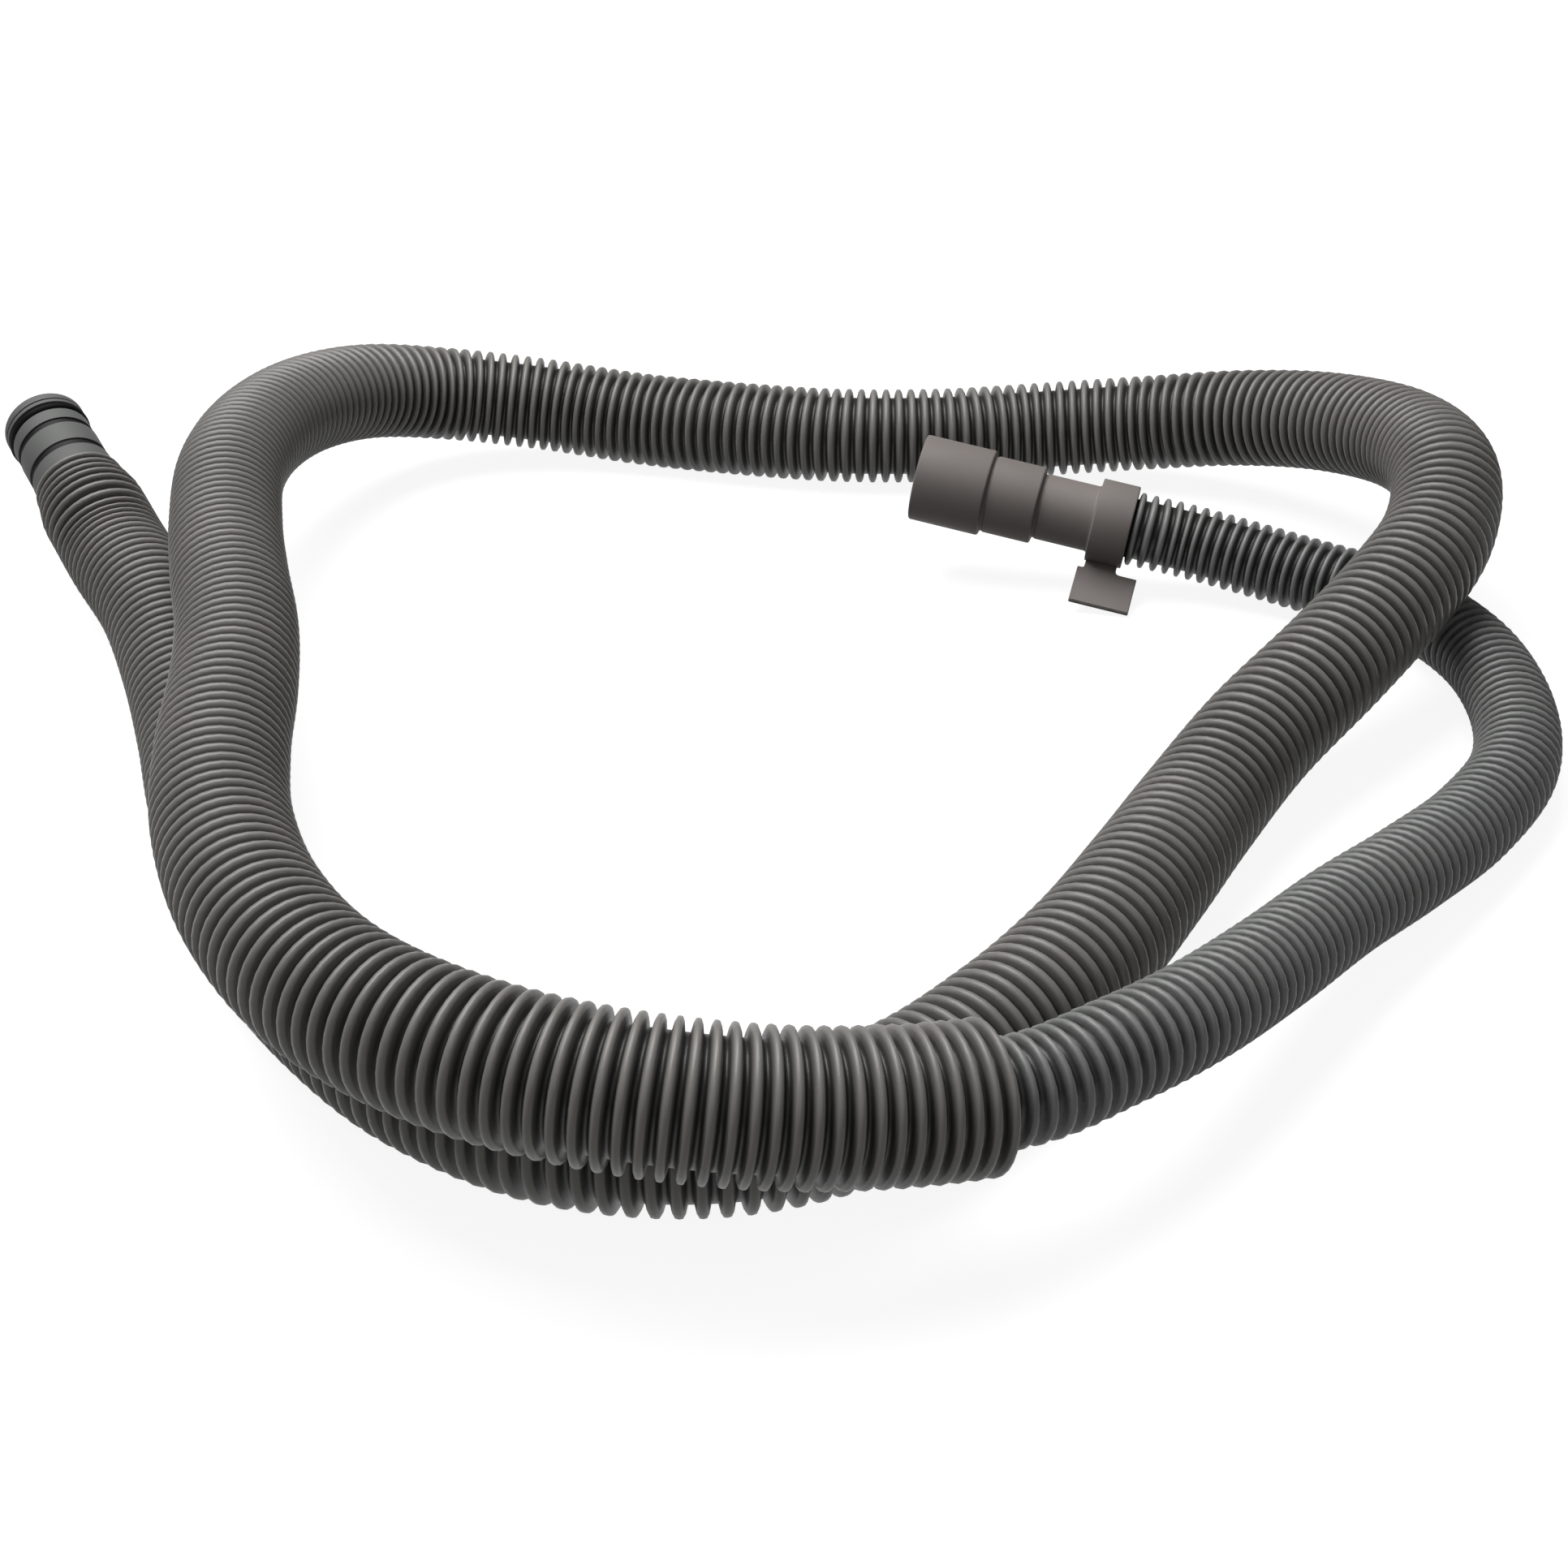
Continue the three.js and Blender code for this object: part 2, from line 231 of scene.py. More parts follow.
def corrugated_hose_tree():
    """A closed hose wall swept along a curve: rings outside, a smooth bore inside, joined at both ends."""
    tree = bpy.data.node_groups.new("corrugated_hose", "GeometryNodeTree")
    interface = tree.interface
    interface.new_socket("Geometry", in_out="INPUT", socket_type="NodeSocketGeometry")
    for name, kind in (
        ("Rings", "NodeSocketInt"), ("Sides", "NodeSocketInt"), ("Bore Rows", "NodeSocketInt"),
        ("Ring Share", "NodeSocketFloat"), ("Length", "NodeSocketFloat"),
        ("Crest Radius", "NodeSocketFloat"), ("Root Radius", "NodeSocketFloat"),
        ("Bore Radius", "NodeSocketFloat"), ("Start Share", "NodeSocketFloat"),
        ("Taper Length", "NodeSocketFloat"),
        ("Start Squeeze", "NodeSocketFloat"), ("Squeezed To", "NodeSocketFloat"),
        ("End Squeeze", "NodeSocketFloat"), ("Squeezed From", "NodeSocketFloat"),
        ("Material", "NodeSocketMaterial"),
    ):
        interface.new_socket(name, in_out="INPUT", socket_type=kind)
    interface.new_socket("Geometry", in_out="OUTPUT", socket_type="NodeSocketGeometry")
    given = tree.nodes.new("NodeGroupInput").outputs
    m = Maths(tree)
    per_ring = len(ring_phases)

    # A flat grid to begin with: its rows run along the outside and back along the bore, its columns round it.
    outer_rows = m.math("MULTIPLY_ADD", given["Rings"], per_ring, -1)
    rows = m.math("ADD", m.math("ADD", outer_rows, given["Bore Rows"]), 1)
    columns = m.math("ADD", given["Sides"], 1)
    grid = tree.nodes.new("GeometryNodeMeshGrid")
    m.put(grid.inputs["Vertices X"], rows)
    m.put(grid.inputs["Vertices Y"], columns)
    index = tree.nodes.new("GeometryNodeInputIndex").outputs[0]
    row = m.math("FLOOR", m.math("DIVIDE", m.math("ADD", index, 0.5), columns))
    column = m.math("SUBTRACT", index, m.math("MULTIPLY", row, columns))

    # Where a row of the outside stands: each end loses some of its rings' spacing, less and less towards the
    # middle, and the cut comes just behind the last ring's crest.
    ring = m.math("FLOOR", m.math("DIVIDE", m.math("ADD", row, 0.5), per_ring))
    step = m.math("SUBTRACT", row, m.math("MULTIPLY", ring, per_ring))
    last_ring = m.math("MULTIPLY_ADD", given["Ring Share"], ring_phases[-2], -1)
    rings_to_cut = m.math("ADD", given["Rings"], last_ring)
    phase = m.math("MULTIPLY", given["Ring Share"], m.pick(step, ring_phases))
    share = m.math("DIVIDE", m.math("ADD", ring, phase), rings_to_cut)
    start_reach = m.math("MINIMUM", m.math("DIVIDE", share, given["Squeezed To"]), 1.0)
    start_fade = m.math("SUBTRACT", start_reach, m.math("DIVIDE", m.math("POWER", start_reach, 3.0), 3.0))
    start_room = m.math("MULTIPLY", given["Start Squeeze"], given["Squeezed To"])
    start_loss = m.math("MULTIPLY", start_room, 2 / 3)
    lost_at_start = m.math("MULTIPLY", start_room, start_fade)
    end_share = m.math("SUBTRACT", 1.0, given["Squeezed From"])
    end_loss = m.math("MULTIPLY", m.math("MULTIPLY", given["End Squeeze"], end_share), 0.5)
    past = m.math("DIVIDE", m.math("SUBTRACT", share, given["Squeezed From"]), end_share)
    lost_at_end = m.math("MULTIPLY", end_loss, m.math("POWER", m.math("MAXIMUM", past, 0.0), 2.0))
    moved = m.math("SUBTRACT", share, m.math("ADD", lost_at_start, lost_at_end))
    kept = m.math("SUBTRACT", 1.0, m.math("ADD", start_loss, end_loss))
    outer_distance = m.math("MULTIPLY", m.math("DIVIDE", moved, kept), given["Length"])
    height = m.pick(step, ring_heights)

    # The bore's rows come back from the cut to the start, and the last row closes the wall there.
    back = m.math("SUBTRACT", row, outer_rows)
    share_left = m.math("SUBTRACT", 1.0, m.math("DIVIDE", back, m.math("SUBTRACT", given["Bore Rows"], 1)))
    bore_distance = m.math("MULTIPLY", m.math("MAXIMUM", share_left, 0.0), given["Length"])

    is_bore = m.math("GREATER_THAN", row, m.math("SUBTRACT", outer_rows, 0.5))
    is_last = m.math("GREATER_THAN", row, m.math("SUBTRACT", rows, 1.5))
    distance = m.choose(is_bore, outer_distance, m.choose(is_last, bore_distance, 0.0))
    # The radius, which starts narrower and widens over the taper.
    taper = tree.nodes.new("ShaderNodeMapRange")
    taper.interpolation_type = "SMOOTHSTEP"
    m.put(taper.inputs["Value"], distance)
    m.put(taper.inputs["From Max"], given["Taper Length"])
    m.put(taper.inputs["To Min"], given["Start Share"])
    ring_depth = m.math("SUBTRACT", given["Crest Radius"], given["Root Radius"])
    outer_radius = m.math(
        "MULTIPLY", m.math("MULTIPLY_ADD", height, ring_depth, given["Root Radius"]), taper.outputs[0]
    )
    start_radius = m.math("MULTIPLY", given["Root Radius"], given["Start Share"])
    bore_radius = m.math("MULTIPLY", given["Bore Radius"], taper.outputs[0])
    radius = m.choose(is_bore, outer_radius, m.choose(is_last, bore_radius, start_radius))

    # Each row becomes a circle round the path.
    sample = tree.nodes.new("GeometryNodeSampleCurve")
    sample.mode = "LENGTH"
    m.put(sample.inputs["Curves"], given["Geometry"])
    m.put(sample.inputs["Length"], distance)
    angle = m.math("MULTIPLY", m.math("DIVIDE", column, given["Sides"]), 2 * math.pi)
    normal = sample.outputs["Normal"]
    side = m.vector("NORMALIZE", m.vector("CROSS_PRODUCT", sample.outputs["Tangent"], normal))
    up = m.vector("CROSS_PRODUCT", side, m.vector("NORMALIZE", sample.outputs["Tangent"]))
    outwards = m.vector(
        "ADD",
        m.vector("SCALE", up, scale=m.math("COSINE", angle)),
        m.vector("SCALE", side, scale=m.math("SINE", angle)),
    )
    place = m.vector("ADD", sample.outputs["Position"], m.vector("SCALE", outwards, scale=radius))

    shaped = tree.nodes.new("GeometryNodeSetPosition")
    m.put(shaped.inputs["Geometry"], grid.outputs["Mesh"])
    m.put(shaped.inputs["Position"], place)
    # The ring height is stored as crest for the material's painted shade; the bore stores zero and so is
    # painted darkest.
    crest = tree.nodes.new("GeometryNodeStoreNamedAttribute")
    crest.data_type = "FLOAT"
    crest.domain = "POINT"
    m.put(crest.inputs["Geometry"], shaped.outputs[0])
    m.put(crest.inputs["Name"], "crest")
    m.put(crest.inputs["Value"], m.choose(is_bore, height, 0.0))
    closed = tree.nodes.new("GeometryNodeMergeByDistance")
    m.put(closed.inputs["Geometry"], crest.outputs[0])
    m.put(closed.inputs["Distance"], weld_distance)
    real = tree.nodes.new("GeometryNodeRealizeInstances")
    m.put(real.inputs["Geometry"], closed.outputs[0])
    dressed = tree.nodes.new("GeometryNodeSetMaterial")
    m.put(dressed.inputs["Geometry"], real.outputs[0])
    m.put(dressed.inputs["Material"], given["Material"])
    m.put(tree.nodes.new("NodeGroupOutput").inputs[0], dressed.outputs[0])
    return tree


hose_tree = corrugated_hose_tree()


def keep(mesh_object):
    """Puts a finished mesh object in the scene, smooth-shaded."""
    bpy.context.collection.objects.link(mesh_object)
    mesh_object.data.shade_smooth()
    return mesh_object


def swept_hose(name, path, sizes):
    """Runs the corrugated hose tree along a path and keeps the result as a plain mesh."""
    spline_data = bpy.data.curves.new(name + "_path", "CURVE")
    spline_data.dimensions = "3D"
    spline = spline_data.splines.new("POLY")
    spline.points.add(len(path) - 1)
    for point, place in zip(spline.points, path):
        point.co = (*place, 1)
    carrier = bpy.data.objects.new(name + "_path", spline_data)
    bpy.context.collection.objects.link(carrier)
    modifier = carrier.modifiers.new("corrugations", "NODES")
    modifier.node_group = hose_tree
    for item in hose_tree.interface.items_tree:
        if item.in_out == "INPUT" and item.name in sizes:
            modifier[item.identifier] = sizes[item.name]
    evaluated = carrier.evaluated_get(bpy.context.evaluated_depsgraph_get())
    mesh = bpy.data.meshes.new_from_object(evaluated)
    mesh.name = name
    carrier.modifiers.remove(modifier)
    bpy.data.objects.remove(carrier)
    return keep(bpy.data.objects.new(name, mesh))


# The looks that all the moulded plastic and rubber share.
mottle_scale = 26
mottle_detail = 6
mottle_roughness = 0.6
mottle_range = (0.35, 0.65)
# Ring heights over which the painted shade in the grooves fades: full below the first, none above the second.
painted_shade_heights = (0.25, 0.92)
rub_scale = 90
rub_detail = 5
rub_spread = 0.08
grain_scale = 1400
grain_detail = 3
grain_strength = 0.25
grain_depth = 0.1 * mm


def plastic(name, colour, dull_colour, roughness, shine=0.4, painted_groove_shade=0.0):
    """Moulded plastic or rubber: mottled colour, painted shade that darkens the grooves, uneven sheen and a
    fine grain.
    """
    material = bpy.data.materials.new(name)
    material.use_nodes = True
    tree = material.node_tree
    nodes = tree.nodes
    links = tree.links
    surface = nodes["Principled BSDF"]
    place = nodes.new("ShaderNodeTexCoord").outputs["Object"]

    mottle = nodes.new("ShaderNodeTexNoise")
    mottle.inputs["Scale"].default_value = mottle_scale
    mottle.inputs["Detail"].default_value = mottle_detail
    mottle.inputs["Roughness"].default_value = mottle_roughness
    links.new(place, mottle.inputs["Vector"])
    spread = nodes.new("ShaderNodeMapRange")
    spread.inputs["From Min"].default_value = mottle_range[0]
    spread.inputs["From Max"].default_value = mottle_range[1]
    links.new(mottle.outputs["Fac"], spread.inputs["Value"])
    blend = nodes.new("ShaderNodeMix")
    blend.data_type = "RGBA"
    blend.inputs[6].default_value = (*dull_colour, 1)
    blend.inputs[7].default_value = (*colour, 1)
    links.new(spread.outputs["Result"], blend.inputs[0])
    shown = blend.outputs[2]

    # Painted shade: the base colour is darkened where the stored ring height is low, in the grooves and the
    # bore.
    if painted_groove_shade:
        crest = nodes.new("ShaderNodeAttribute")
        crest.attribute_name = "crest"
        depth = nodes.new("ShaderNodeMapRange")
        depth.inputs["From Min"].default_value = painted_shade_heights[0]
        depth.inputs["From Max"].default_value = painted_shade_heights[1]
        depth.inputs["To Min"].default_value = 1 - painted_groove_shade
        depth.inputs["To Max"].default_value = 1.0
        links.new(crest.outputs["Fac"], depth.inputs["Value"])
        shade = nodes.new("ShaderNodeMix")
        shade.data_type = "RGBA"
        shade.blend_type = "MULTIPLY"
        shade.inputs[0].default_value = 1.0
        links.new(shown, shade.inputs[6])
        links.new(depth.outputs["Result"], shade.inputs[7])
        shown = shade.outputs[2]
    links.new(shown, surface.inputs["Base Color"])

    rub = nodes.new("ShaderNodeTexNoise")
    rub.inputs["Scale"].default_value = rub_scale
    rub.inputs["Detail"].default_value = rub_detail
    links.new(place, rub.inputs["Vector"])
    sheen = nodes.new("ShaderNodeMapRange")
    sheen.inputs["To Min"].default_value = roughness - rub_spread
    sheen.inputs["To Max"].default_value = roughness + rub_spread
    links.new(rub.outputs["Fac"], sheen.inputs["Value"])
    links.new(sheen.outputs["Result"], surface.inputs["Roughness"])

    grain = nodes.new("ShaderNodeTexNoise")
    grain.inputs["Scale"].default_value = grain_scale
    grain.inputs["Detail"].default_value = grain_detail
    links.new(place, grain.inputs["Vector"])
    bump = nodes.new("ShaderNodeBump")
    bump.inputs["Strength"].default_value = grain_strength
    bump.inputs["Distance"].default_value = grain_depth
    links.new(grain.outputs["Fac"], bump.inputs["Height"])
    links.new(bump.outputs["Normal"], surface.inputs["Normal"])
    surface.inputs["Specular IOR Level"].default_value = shine
    return material


# The sheath's grooves and bore are darkened with painted shade.
sheath_plastic = plastic(
    "sheath_plastic", colour=(0.188, 0.179, 0.17), dull_colour=(0.165, 0.16, 0.154),
    roughness=0.42, painted_groove_shade=0.88,
)
sheath_path = stretch(route, hose_in_nozzle, hose_in_nozzle + sheath_length, path_spacing)
sheath = swept_hose("corrugated_sheath", sheath_path, {
    "Rings": sheath_rings, "Sides": sheath_sides, "Bore Rows": sheath_bore_rows,
    "Ring Share": sheath_ring_share, "Length": sheath_length * mm, "Crest Radius": sheath_crest * mm,
    "Root Radius": sheath_root * mm, "Bore Radius": sheath_bore * mm,
    "Start Share": sheath_start_share, "Taper Length": sheath_taper * mm,
    "Start Squeeze": sheath_start_squeeze, "Squeezed To": sheath_squeezed_to,
    "End Squeeze": sheath_end_squeeze, "Squeezed From": sheath_squeezed_from, "Material": sheath_plastic,
})
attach(sheath, "root")
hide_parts("outer_sheath")


# Drain hose: the narrower corrugated tube that carries the water, one length from end to end.
# It is pushed into the nozzle's socket, runs inside the sheath, and ends in the cuff's collar.
hose_crest = 11.5
hose_root = 9.2
hose_bore = 8.5
hose_rings = 549
hose_ring_share = 0.62
hose_bore_rows = 200
hose_sides = 24

# The hose's grooves and bore are darkened with painted shade.
hose_plastic = plastic(
    "hose_plastic", colour=(0.192, 0.197, 0.19), dull_colour=(0.169, 0.174, 0.169),
    roughness=0.42, painted_groove_shade=0.88,
)
hose_path = stretch(route, 0, route_length, path_spacing)
# A start share of 1 and squeezes of 0 leave it as wide and as evenly ringed at its ends as elsewhere.
hose = swept_hose("drain_hose", hose_path, {
    "Rings": hose_rings, "Sides": hose_sides, "Bore Rows": hose_bore_rows,
    "Ring Share": hose_ring_share, "Length": route_length * mm, "Crest Radius": hose_crest * mm,
    "Root Radius": hose_root * mm, "Bore Radius": hose_bore * mm,
    "Start Share": 1.0, "Taper Length": 10 * mm,
    "Start Squeeze": 0.0, "Squeezed To": 0.5, "End Squeeze": 0.0, "Squeezed From": 0.5,
    "Material": hose_plastic,
})
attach(hose, "root")
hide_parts("inner_hose")


# Nozzle: an injection-moulded plug of grey plastic that pushes into the machine's drain outlet.
# It has a rounded lead-in with a fine line, the O-ring's seat, two grooves and a skirt under the sheath.
nozzle_reach = 33
nozzle_bore = 8.5
tip_radius = 11
lead_in = 2.6
flange_radius = 12.8
front_land = 12.4
middle_land = 12.6
skirt_radius = 12.8
skirt_length = 8
# Each groove: its middle along the nozzle, its width and its depth.
tip_line = (4.1, 0.5, 0.5)
ring_seat = (7.25, 3.1, 2.4)
middle_groove = (14.8, 2.6, 0.5)
rear_groove = (25.95, 2.8, 0.5)
# Below this radius the nozzle is darkened with painted shade, as in a groove.
land_floor = 12.25
seat_gap = 0.3
# The roundings of corners, and the most of a side that one may take.
fine_rounding = 0.1
sharp_rounding = 0.2
soft_rounding = 0.3
full_rounding = 0.4
corner_room = 0.45


def groove(place, before, after, corner=sharp_rounding):
    """Four rounded corners of a groove: (middle, width, depth), between two radii."""
    middle, width, depth = place
    bottom = before - depth
    start = middle - width / 2
    end = middle + width / 2
    return [(start, before, corner), (start, bottom, corner), (end, bottom, corner), (end, after, corner)]


def rounded(corners, steps=4):
    """The closed outline through (x, y, rounding) corners, each eased over its rounding if there is room."""
    outline = []
    for index, (x, y, rounding) in enumerate(corners):
        corner = Vector((x, y))
        before = Vector(corners[index - 1][:2]) - corner
        after = Vector(corners[(index + 1) % len(corners)][:2]) - corner
        if rounding == 0:
            outline.append(corner)
            continue
        start = corner + before * min(rounding / before.length, corner_room)
        end = corner + after * min(rounding / after.length, corner_room)
        for step in range(steps + 1):
            t = step / steps
            outline.append(start * (1 - t) ** 2 + corner * 2 * t * (1 - t) + end * t**2)
    return outline


def turned(name, outline, place, material, segments=96):
    """A body turned about X from a closed outline of (along, radius) points, put in its place, in metres."""
    count = len(outline)
    points = []
    for segment in range(segments):
        angle = 2 * math.pi * segment / segments
        for along, radius in outline:
            points.append(place @ Vector((along, radius * math.cos(angle), radius * math.sin(angle))) * mm)
    faces = []
    for segment in range(segments):
        this = segment * count
        following = ((segment + 1) % segments) * count
        for index in range(count):
            after = (index + 1) % count
            faces.append((this + index, this + after, following + after, following + index))
    mesh = bpy.data.meshes.new(name)
    mesh.from_pydata(points, [], faces)
    work = bmesh.new()
    work.from_mesh(mesh)
    bmesh.ops.recalc_face_normals(work, faces=work.faces)
    work.to_mesh(mesh)
    work.free()
    mesh.materials.append(material)
    return keep(bpy.data.objects.new(name, mesh))


nozzle_place = (
    Matrix.Translation(sheath_start + layout_shift + nozzle_direction * nozzle_reach)
    @ Vector((1, 0, 0)).rotation_difference(-nozzle_direction).to_matrix().to_4x4()
)
lead_in_steps = 10
lead_in_arc = []
for step in range(lead_in_steps + 1):
    angle = step / lead_in_steps * math.pi / 2
    lead_in_arc.append((
        lead_in * (1 - math.cos(angle)), tip_radius + (flange_radius - tip_radius) * math.sin(angle), 0,
    ))
nozzle_socket = hose_crest + seat_gap
socket_bottom = nozzle_reach - hose_in_nozzle - seat_gap
nozzle_end = nozzle_reach + skirt_length
nozzle_corners = [
    (0, nozzle_bore, full_rounding), *lead_in_arc,
    *groove(tip_line, flange_radius, flange_radius, fine_rounding),
    *groove(ring_seat, flange_radius, front_land), *groove(middle_groove, front_land, middle_land),
    *groove(rear_groove, middle_land, skirt_radius),
    (nozzle_end, skirt_radius, soft_rounding), (nozzle_end, nozzle_socket, soft_rounding),
    (socket_bottom, nozzle_socket, sharp_rounding), (socket_bottom, nozzle_bore, sharp_rounding),
]
# The nozzle's grooves and socket are darkened almost to black with painted shade.
nozzle_plastic = plastic(
    "nozzle_plastic", colour=(0.115, 0.119, 0.115), dull_colour=(0.104, 0.107, 0.104),
    roughness=0.6, shine=0.25, painted_groove_shade=0.95,
)
nozzle_outline = rounded(nozzle_corners)
nozzle = turned("plug_nozzle", nozzle_outline, nozzle_place, nozzle_plastic)
# The lands and the nose keep their full colour; the grooves behind them and the socket get painted shade.
raised = [float(radius > land_floor or along < ring_seat[0]) for along, radius in nozzle_outline]
nozzle_crest = nozzle.data.attributes.new("crest", "FLOAT", "POINT")
nozzle_crest.data.foreach_set("value", raised * (len(nozzle.data.vertices) // len(raised)))
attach(nozzle, "root")
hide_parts("inlet_nozzle")


# O-ring: a moulded ring of black rubber that seals the nozzle in the machine's outlet.
# It is stretched over the nose into its seat and stands a little proud of the lands.
seal_section = 1.35
seal_proud = 0.55
seal_centre = front_land + seal_proud - seal_section
seal_steps = 20

seal_rubber = plastic(
    "seal_rubber", colour=(0.006, 0.006, 0.007), dull_colour=(0.005, 0.005, 0.005),
    roughness=0.6, shine=0.08,
)
seal_outline = []
for step in range(seal_steps):
    angle = 2 * math.pi * step / seal_steps
    seal_outline.append(Vector((
        ring_seat[0] - seal_section * math.cos(angle), seal_centre + seal_section * math.sin(angle),
    )))
seal = turned("nozzle_seal", seal_outline, nozzle_place, seal_rubber)
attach(seal, "root")
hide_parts("inlet_o_ring")


# Cuff: one moulding of soft brownish-grey rubber, with three stepped sections that are cut back to
# suit the inlet, a collar over the hose's end and, below the collar, a strap that spreads into a bare tag.
wide_end = 22.2
wide_bore = 11.1
wide_radius = 13.5
middle_length = 16.4
middle_end = wide_end + middle_length
middle_bore = 9.5
middle_radius = 12.1
neck_length = 18.2
neck_end = middle_end + neck_length
neck_bore = 8
neck_radius = 10.3
collar_length = 11.6
collar_end = neck_end + collar_length
collar_socket = hose_crest + seat_gap
collar_wall = 1.2
collar_radius = collar_socket + collar_wall
step_rounding = 0.6
line_start = 0.5
line_end = 1.1
line_depth = 0.3
land_start = 1.5
rim_rounding = 0.7
neck_foot_rounding = 0.9
neck_foot_gap = 0.1
collar_rounding = 0.5
cuff_segments = 128
crease_angle = math.radians(35)

tag_thickness = 1.5
tag_slope = math.radians(25)
tag_root = math.radians(-60)
plate_length = 13.9
plate_width = 18.8
plate_overhang = 1.4
strap_length = 3.4
strap_root = 2.6
strap_from_neck = 0.6
strap_from_rim = 1.1
strap_start = neck_end + strap_from_neck
strap_end = collar_end - strap_from_rim
notch_rounding = 1.5
strap_rounding = 0.8
plate_rounding = 0.5
tag_bevel = 0.25
tag_bevel_steps = 2
flat_within = 1e-4


def step_down(at, before, after):
    """The rounded edge of one section and the fine line at the foot of the next."""
    return [
        (at, before, step_rounding), (at + line_start, after - line_depth, sharp_rounding),
        (at + line_end, after - line_depth, sharp_rounding), (at + land_start, after, soft_rounding),
    ]


cuff_place = (
    Matrix.Translation(cuff_end + layout_shift - cuff_direction * collar_end)
    @ Matrix.Rotation(cuff_tilt, 4, "Y")
)
socket_floor = collar_end - hose_in_cuff - seat_gap
cuff_corners = [
    (0, wide_bore, rim_rounding), (0, wide_radius, rim_rounding),
    *step_down(wide_end, wide_radius, middle_radius), *step_down(middle_end, middle_radius, neck_radius),
    (neck_end - neck_foot_gap, neck_radius, neck_foot_rounding),
    (neck_end, collar_radius, full_rounding), (collar_end, collar_radius, collar_rounding),
    (collar_end, collar_socket, soft_rounding), (socket_floor, collar_socket, sharp_rounding),
    (socket_floor, neck_bore, soft_rounding), (middle_end, neck_bore, soft_rounding),
    (middle_end - middle_bore + neck_bore, middle_bore, soft_rounding),
    (wide_end, middle_bore, soft_rounding), (wide_end - wide_bore + middle_bore, wide_bore, soft_rounding),
]
cuff_rubber = plastic(
    "cuff_rubber", colour=(0.182, 0.162, 0.153), dull_colour=(0.163, 0.145, 0.137),
    roughness=0.6, shine=0.3,
)
cuff = turned("stepped_cuff", rounded(cuff_corners), cuff_place, cuff_rubber, cuff_segments)

# Tag: its outline lies flat in the leaf, first along the cuff and then down the slope from the collar.
plate_start = neck_end - plate_overhang
plate_end = plate_start + plate_width
plate_foot = strap_length + plate_length
tag_corners = [
    (strap_start, -strap_root, 0), (strap_end, -strap_root, 0), (strap_end, strap_length, notch_rounding),
    (plate_end, strap_length, full_rounding), (plate_end, plate_foot, plate_rounding),
    (plate_start, plate_foot, plate_rounding), (plate_start, strap_length, full_rounding),
    (strap_start, strap_length, strap_rounding),
]
tag_mesh = bpy.data.meshes.new("tag")
tag_work = bmesh.new()
tag_foot = Vector((0, -math.cos(tag_root), math.sin(tag_root))) * collar_radius
down_slope = Vector((0, -math.cos(tag_slope), -math.sin(tag_slope)))
out_of_leaf = Vector((0, -math.sin(tag_slope), math.cos(tag_slope)))
tag_face = tag_work.faces.new([
    tag_work.verts.new(Vector((along, 0, 0)) + tag_foot + down_slope * down - out_of_leaf * tag_thickness / 2)
    for along, down in rounded(tag_corners)
])
grown = bmesh.ops.extrude_face_region(tag_work, geom=[tag_face])
grown_points = [item for item in grown["geom"] if isinstance(item, bmesh.types.BMVert)]
bmesh.ops.translate(tag_work, verts=grown_points, vec=out_of_leaf * tag_thickness)
rim_edges = [
    edge for edge in tag_work.edges
    if abs((edge.verts[0].co - edge.verts[1].co).dot(out_of_leaf)) < flat_within
]
bmesh.ops.bevel(tag_work, geom=rim_edges, offset=tag_bevel, segments=tag_bevel_steps, affect="EDGES")
bmesh.ops.recalc_face_normals(tag_work, faces=tag_work.faces)
tag_work.transform(Matrix.Scale(mm, 4) @ cuff_place)
tag_work.to_mesh(tag_mesh)
tag_work.free()
tag = bpy.data.objects.new("tag", tag_mesh)
bpy.context.collection.objects.link(tag)
join = cuff.modifiers.new("tag", "BOOLEAN")
join.operation = "UNION"
join.solver = "EXACT"
join.object = tag
moulded = bpy.data.meshes.new_from_object(cuff.evaluated_get(bpy.context.evaluated_depsgraph_get()))
cuff.modifiers.remove(join)
cuff.data = moulded
bpy.data.objects.remove(tag)
moulded.set_sharp_from_angle(angle=crease_angle)
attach(cuff, "root")
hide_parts("disposer_cuff")


# Studio: a white floor that is white to the camera and in reflections, and keeps the hose's faint shadow.
# A wide soft box hangs overhead, and a weak one fills in from the front right.
shadow_tone = 0.2
near_white = 0.9
far_white = 1.0
near_reach = 0.6
far_reach = 2.5
floor_bounce = 0.03
floor_half = 6


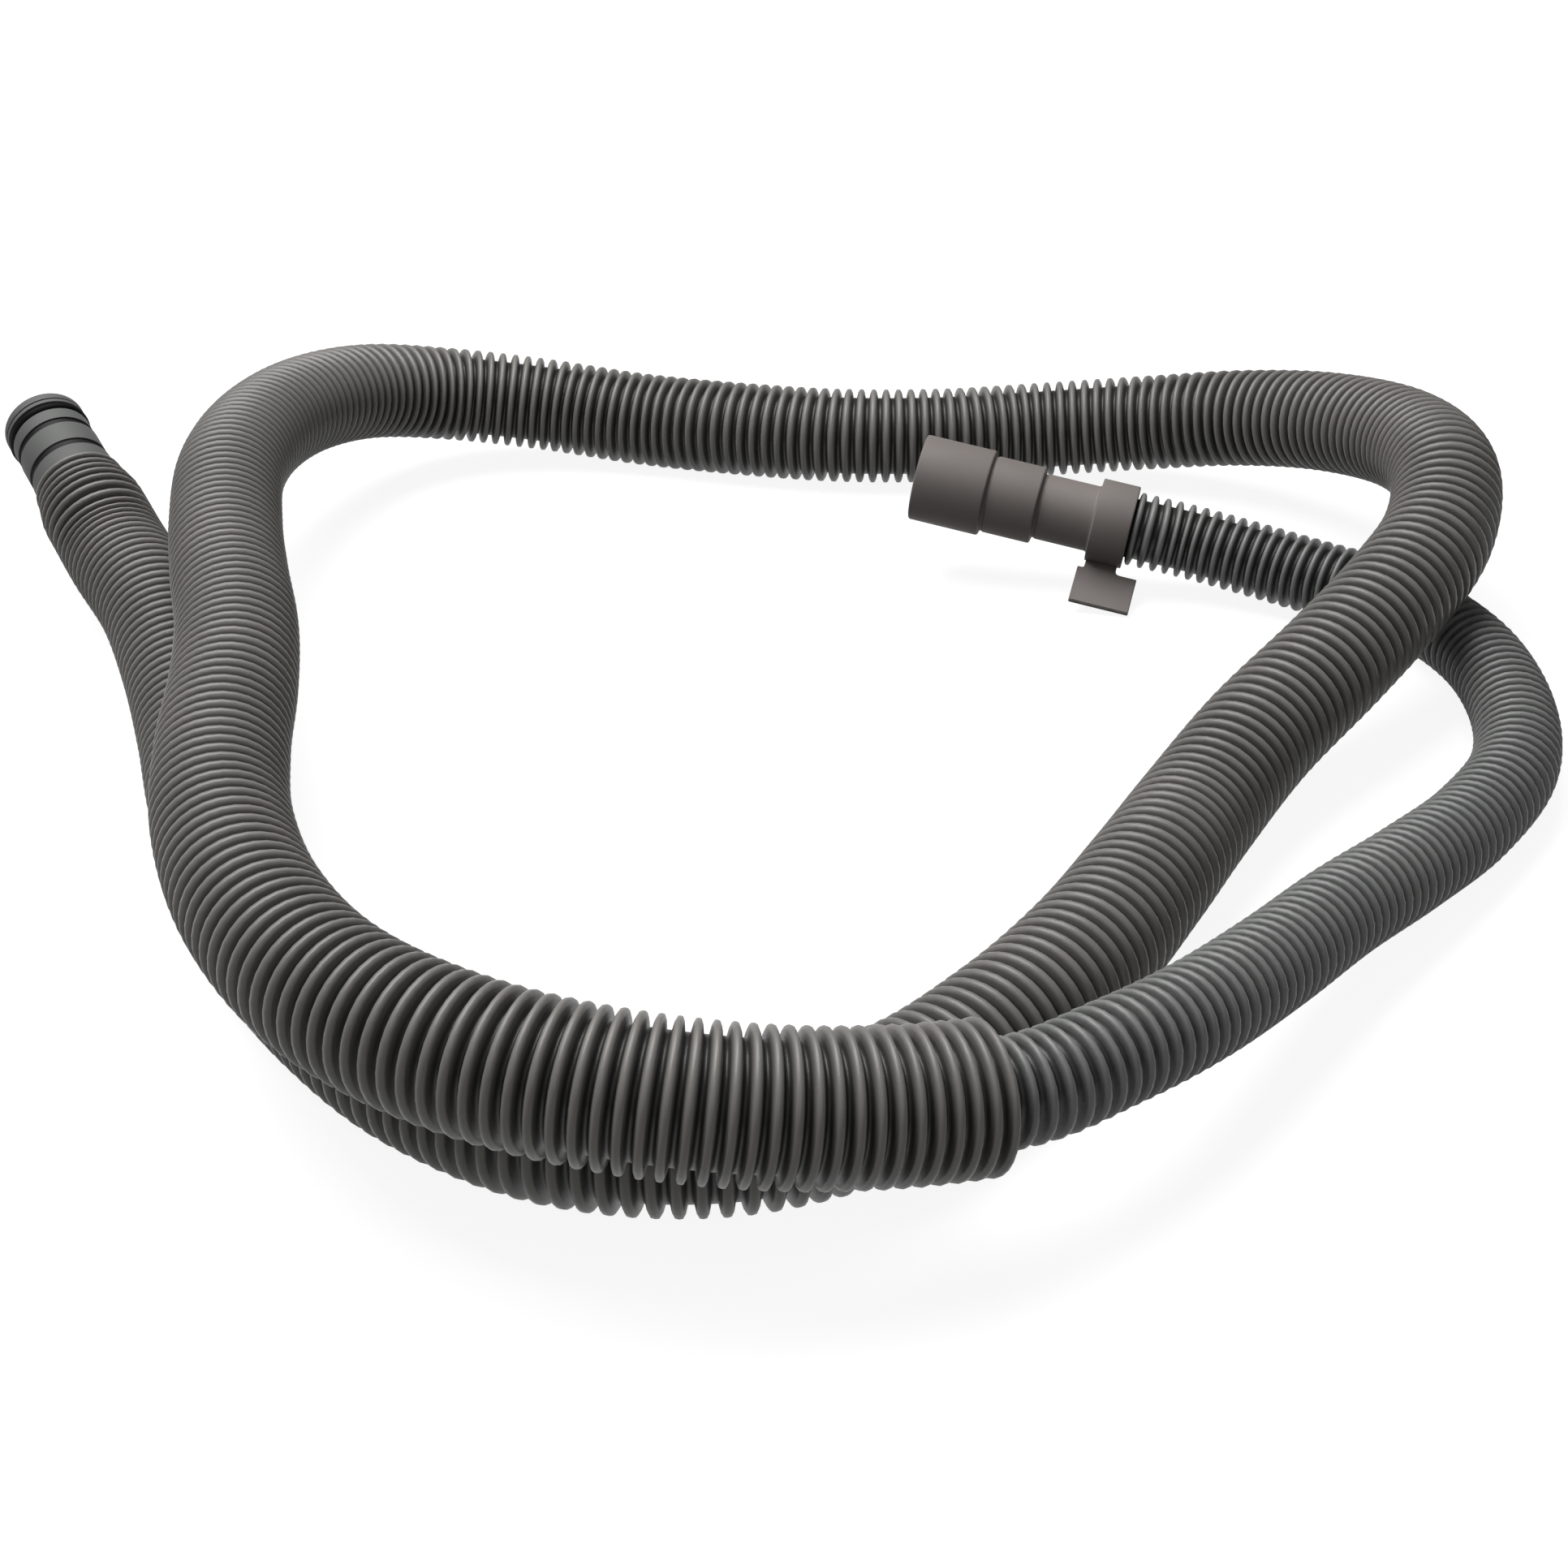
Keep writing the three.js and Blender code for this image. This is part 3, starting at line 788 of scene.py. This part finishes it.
def white_floor():
    """White to the camera and in reflections, with a faint shadow, and nearly black to other light."""
    material = bpy.data.materials.new("white_sweep")
    material.use_nodes = True
    nodes = material.node_tree.nodes
    links = material.node_tree.links
    nodes.clear()
    seen = nodes.new("ShaderNodeLightPath")
    either = nodes.new("ShaderNodeMath")
    either.operation = "MAXIMUM"
    links.new(seen.outputs["Is Camera Ray"], either.inputs[0])
    links.new(seen.outputs["Is Glossy Ray"], either.inputs[1])
    bright = nodes.new("ShaderNodeBsdfDiffuse")
    bright.inputs["Color"].default_value = (shadow_tone, shadow_tone, shadow_tone, 1)
    glow = nodes.new("ShaderNodeEmission")
    apart = nodes.new("ShaderNodeVectorMath")
    apart.operation = "LENGTH"
    links.new(nodes.new("ShaderNodeTexCoord").outputs["Object"], apart.inputs[0])
    strength = nodes.new("ShaderNodeMapRange")
    strength.inputs["From Min"].default_value = near_reach
    strength.inputs["From Max"].default_value = far_reach
    strength.inputs["To Min"].default_value = near_white
    strength.inputs["To Max"].default_value = far_white
    links.new(apart.outputs["Value"], strength.inputs["Value"])
    links.new(strength.outputs["Result"], glow.inputs["Strength"])
    lit = nodes.new("ShaderNodeAddShader")
    links.new(bright.outputs[0], lit.inputs[0])
    links.new(glow.outputs[0], lit.inputs[1])
    dull = nodes.new("ShaderNodeBsdfDiffuse")
    dull.inputs["Color"].default_value = (floor_bounce, floor_bounce, floor_bounce, 1)
    mix = nodes.new("ShaderNodeMixShader")
    links.new(either.outputs[0], mix.inputs[0])
    links.new(dull.outputs[0], mix.inputs[1])
    links.new(lit.outputs[0], mix.inputs[2])
    links.new(mix.outputs[0], nodes.new("ShaderNodeOutputMaterial").inputs[0])
    return material


floor_mesh = bpy.data.meshes.new("floor")
floor_mesh.from_pydata(
    [(-floor_half, -floor_half, 0), (floor_half, -floor_half, 0), (floor_half, floor_half, 0),
     (-floor_half, floor_half, 0)], [], [(0, 1, 2, 3)]
)
floor_mesh.materials.append(white_floor())
floor = bpy.data.objects.new("floor", floor_mesh)
bpy.context.collection.objects.link(floor)


def soft_box(name, place, aim, size, power):
    data = bpy.data.lights.new(name, "AREA")
    data.shape = "RECTANGLE"
    data.size, data.size_y = size
    data.energy = power
    lamp = bpy.data.objects.new(name, data)
    lamp.location = place
    lamp.rotation_euler = (Vector(aim) - Vector(place)).to_track_quat("-Z", "Y").to_euler()
    bpy.context.collection.objects.link(lamp)


soft_box("overhead_box", place=(-0.4, 0.15, 1.3), aim=(0, -0.05, 0), size=(1.3, 0.9), power=30)
soft_box("front_fill", place=(0.5, -1.3, 1.0), aim=(0, -0.1, 0), size=(1.0, 1.0), power=2.5)

# The world lights the hose weakly from all sides, and is white to the camera.
world_fill = 0.1
world_white = 1.0
world = bpy.data.worlds.new("studio")
bpy.context.scene.world = world
world.use_nodes = True
world_nodes = world.node_tree.nodes
world_links = world.node_tree.links
background = world_nodes["Background"]
ray = world_nodes.new("ShaderNodeLightPath")
strength = world_nodes.new("ShaderNodeMapRange")
strength.inputs["To Min"].default_value = world_fill
strength.inputs["To Max"].default_value = world_white
world_links.new(ray.outputs["Is Camera Ray"], strength.inputs["Value"])
world_links.new(strength.outputs["Result"], background.inputs["Strength"])
background.inputs["Color"].default_value = (1, 1, 1, 1)
bpy.context.scene.view_settings.view_transform = "Standard"
